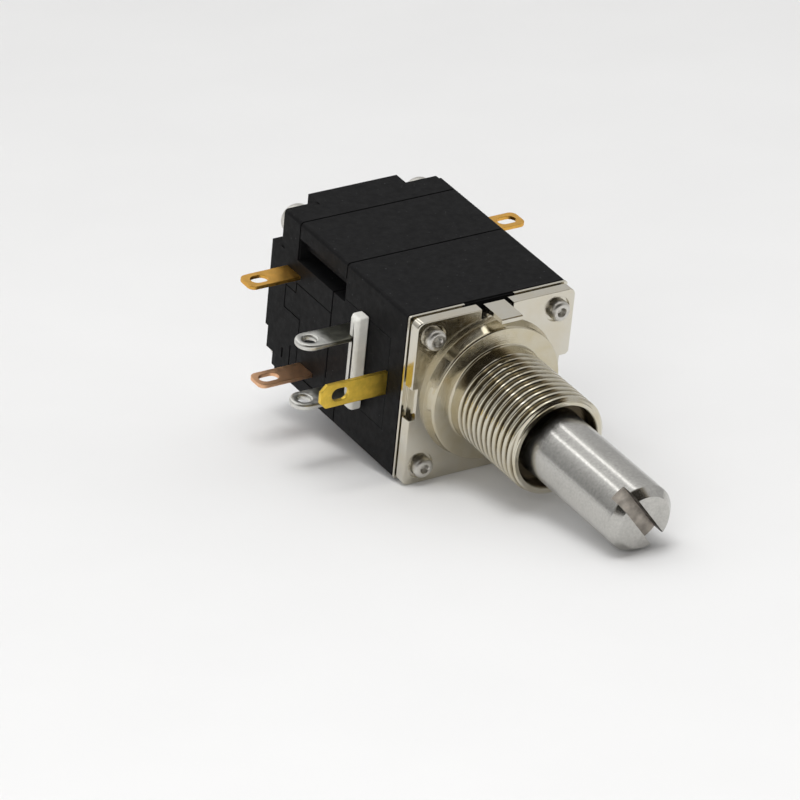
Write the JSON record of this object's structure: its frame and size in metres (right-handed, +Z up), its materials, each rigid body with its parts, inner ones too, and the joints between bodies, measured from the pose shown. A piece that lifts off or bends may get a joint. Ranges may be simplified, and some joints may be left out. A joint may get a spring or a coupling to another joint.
{
  "type": "rheostat",
  "caption": "Square-bodied panel rheostat with threaded bushing, slotted control shaft, side solder terminals and a rear rotary snap switch.",
  "frame": {"origin": "on the shaft's axis, in the mounting face of the bushing's hub, where the panel's back lies", "axes": "+Y runs from the shaft's tip to the rear cover, +Z is up with the locating lug on top, the rheostat's own terminals point to -X"},
  "size_m": [0.0283, 0.0481, 0.0164],
  "materials": {
    "nickel_plate": "satin nickel plate",
    "nickel_bushing": "bright nickel plate, turned",
    "shaft_steel": "centreless-ground, satin",
    "spring_steel": "plain",
    "seal_rubber": "matt",
    "black_moulding": "moulded, fine grain",
    "white_insulator": "satin",
    "tinned_brass": "solder-dipped, bright",
    "gold_plate": "gold plate, satin",
    "fibre": "matt",
    "resistance_wire": "wound wire",
    "phenolic": "matt",
    "copper_alloy": "copper-gold plate, satin",
    "ivory_nylon": "satin",
    "rivet_metal": "satin, upset ends"
  },
  "bodies": {
    "housing": {"front_plate": "nickel_plate", "backing_plate": "nickel_plate", "bushing": "nickel_bushing", "shaft_seal": "seal_rubber", "front_housing": "black_moulding", "terminal_block": "black_moulding", "terminal_bar": "white_insulator", "end_terminal_upper": "tinned_brass", "end_terminal_lower": "tinned_brass", "wiper_terminal": "gold_plate", "winding_core": "fibre", "resistance_winding": "resistance_wire", "partition": "phenolic", "rear_housing": "black_moulding", "rear_cover": "black_moulding", "switch_insulator_left": "black_moulding", "switch_insulator_right": "black_moulding", "terminal_left_rear": "copper_alloy", "terminal_left_fore": "copper_alloy", "terminal_right_rear": "copper_alloy", "terminal_right_fore": "copper_alloy", "detent_spring": "spring_steel", "tie_rivets": "rivet_metal"},
    "shaft": {"shaft": "shaft_steel", "shaft_ring": "spring_steel", "rotor": "phenolic", "wiper": "gold_plate", "switch_driver": "ivory_nylon"},
    "switch_rotor": {"switch_rotor": "ivory_nylon", "contact_blades": "copper_alloy"}
  },
  "joints": [
    {"name": "shaft_turn", "type": "hinge", "parent": "housing", "child": "shaft", "pos_m": [0, 0, 0], "axis": [0, 1, 0], "range_deg": [-110, 186]},
    {"name": "switch_turn", "type": "hinge", "parent": "housing", "child": "switch_rotor", "pos_m": [0, 0.0192, 0], "axis": [0, 1, 0], "range_deg": [-30, 0]}
  ]
}
